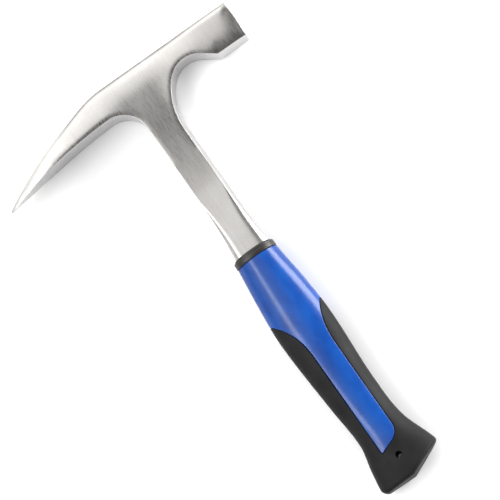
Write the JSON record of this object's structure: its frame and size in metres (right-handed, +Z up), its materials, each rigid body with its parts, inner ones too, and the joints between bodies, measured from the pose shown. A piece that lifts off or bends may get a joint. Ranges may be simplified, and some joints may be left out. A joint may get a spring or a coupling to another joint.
{
  "type": "rock hammer",
  "caption": "One-piece forged rock hammer with a square poll, a drooping pick and a two-tone moulded grip with a lanyard hole.",
  "frame": {"origin": "under the middle of the hammer's outline as it lies on its side, on the surface it rests on", "axes": "+X towards the striking face, -X towards the pick, +Y from the butt to the head, +Z up through the thickness"},
  "size_m": [0.1698, 0.285, 0.024],
  "materials": {
    "brushed_steel": "satin brushed, lightly polished edges",
    "black_nylon": "moulded, matte",
    "black_collar": "moulded, satin",
    "blue_plastic": "glossy moulded",
    "black_rubber": "soft matte moulded"
  },
  "bodies": {
    "root": {"steel_forging": "brushed_steel", "inner_sleeve": "black_nylon", "collar_ring": "black_collar", "blue_grip_body": "blue_plastic", "rubber_cover": "black_rubber"}
  },
  "joints": []
}
